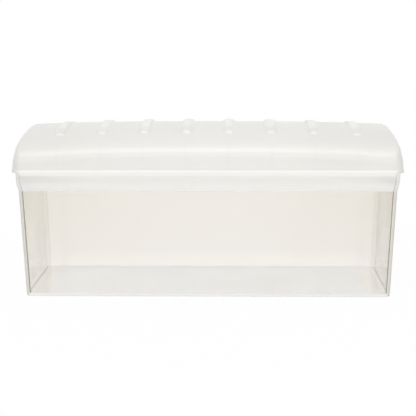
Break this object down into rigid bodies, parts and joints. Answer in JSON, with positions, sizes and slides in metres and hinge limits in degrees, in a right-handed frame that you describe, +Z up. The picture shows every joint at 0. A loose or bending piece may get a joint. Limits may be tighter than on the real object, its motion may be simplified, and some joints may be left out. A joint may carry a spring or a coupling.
{
  "type": "bread storage container",
  "caption": "Long clear tub with drawn-in walls and a stepped rim band, under a frosted lift-off domed lid with raised ribs over its crest, for keeping a loaf of bread.",
  "frame": {"origin": "on the surface that the tub stands on, under the middle of the container", "axes": "+Z up, X along the length, -Y towards the front long side"},
  "size_m": [0.38, 0.148, 0.1692],
  "materials": {
    "clear_tub": "clear, faintly warm, smooth, with a frosted rim band",
    "frosted_lid": "frosted translucent white, satin"
  },
  "bodies": {
    "tub": {"tub": "clear_tub"},
    "lid": {"lid": "frosted_lid"}
  },
  "joints": [
    {"name": "lid_lift", "type": "slide", "parent": "tub", "child": "lid", "axis": [0, 0, 1], "range_m": [0, 0.08]}
  ]
}
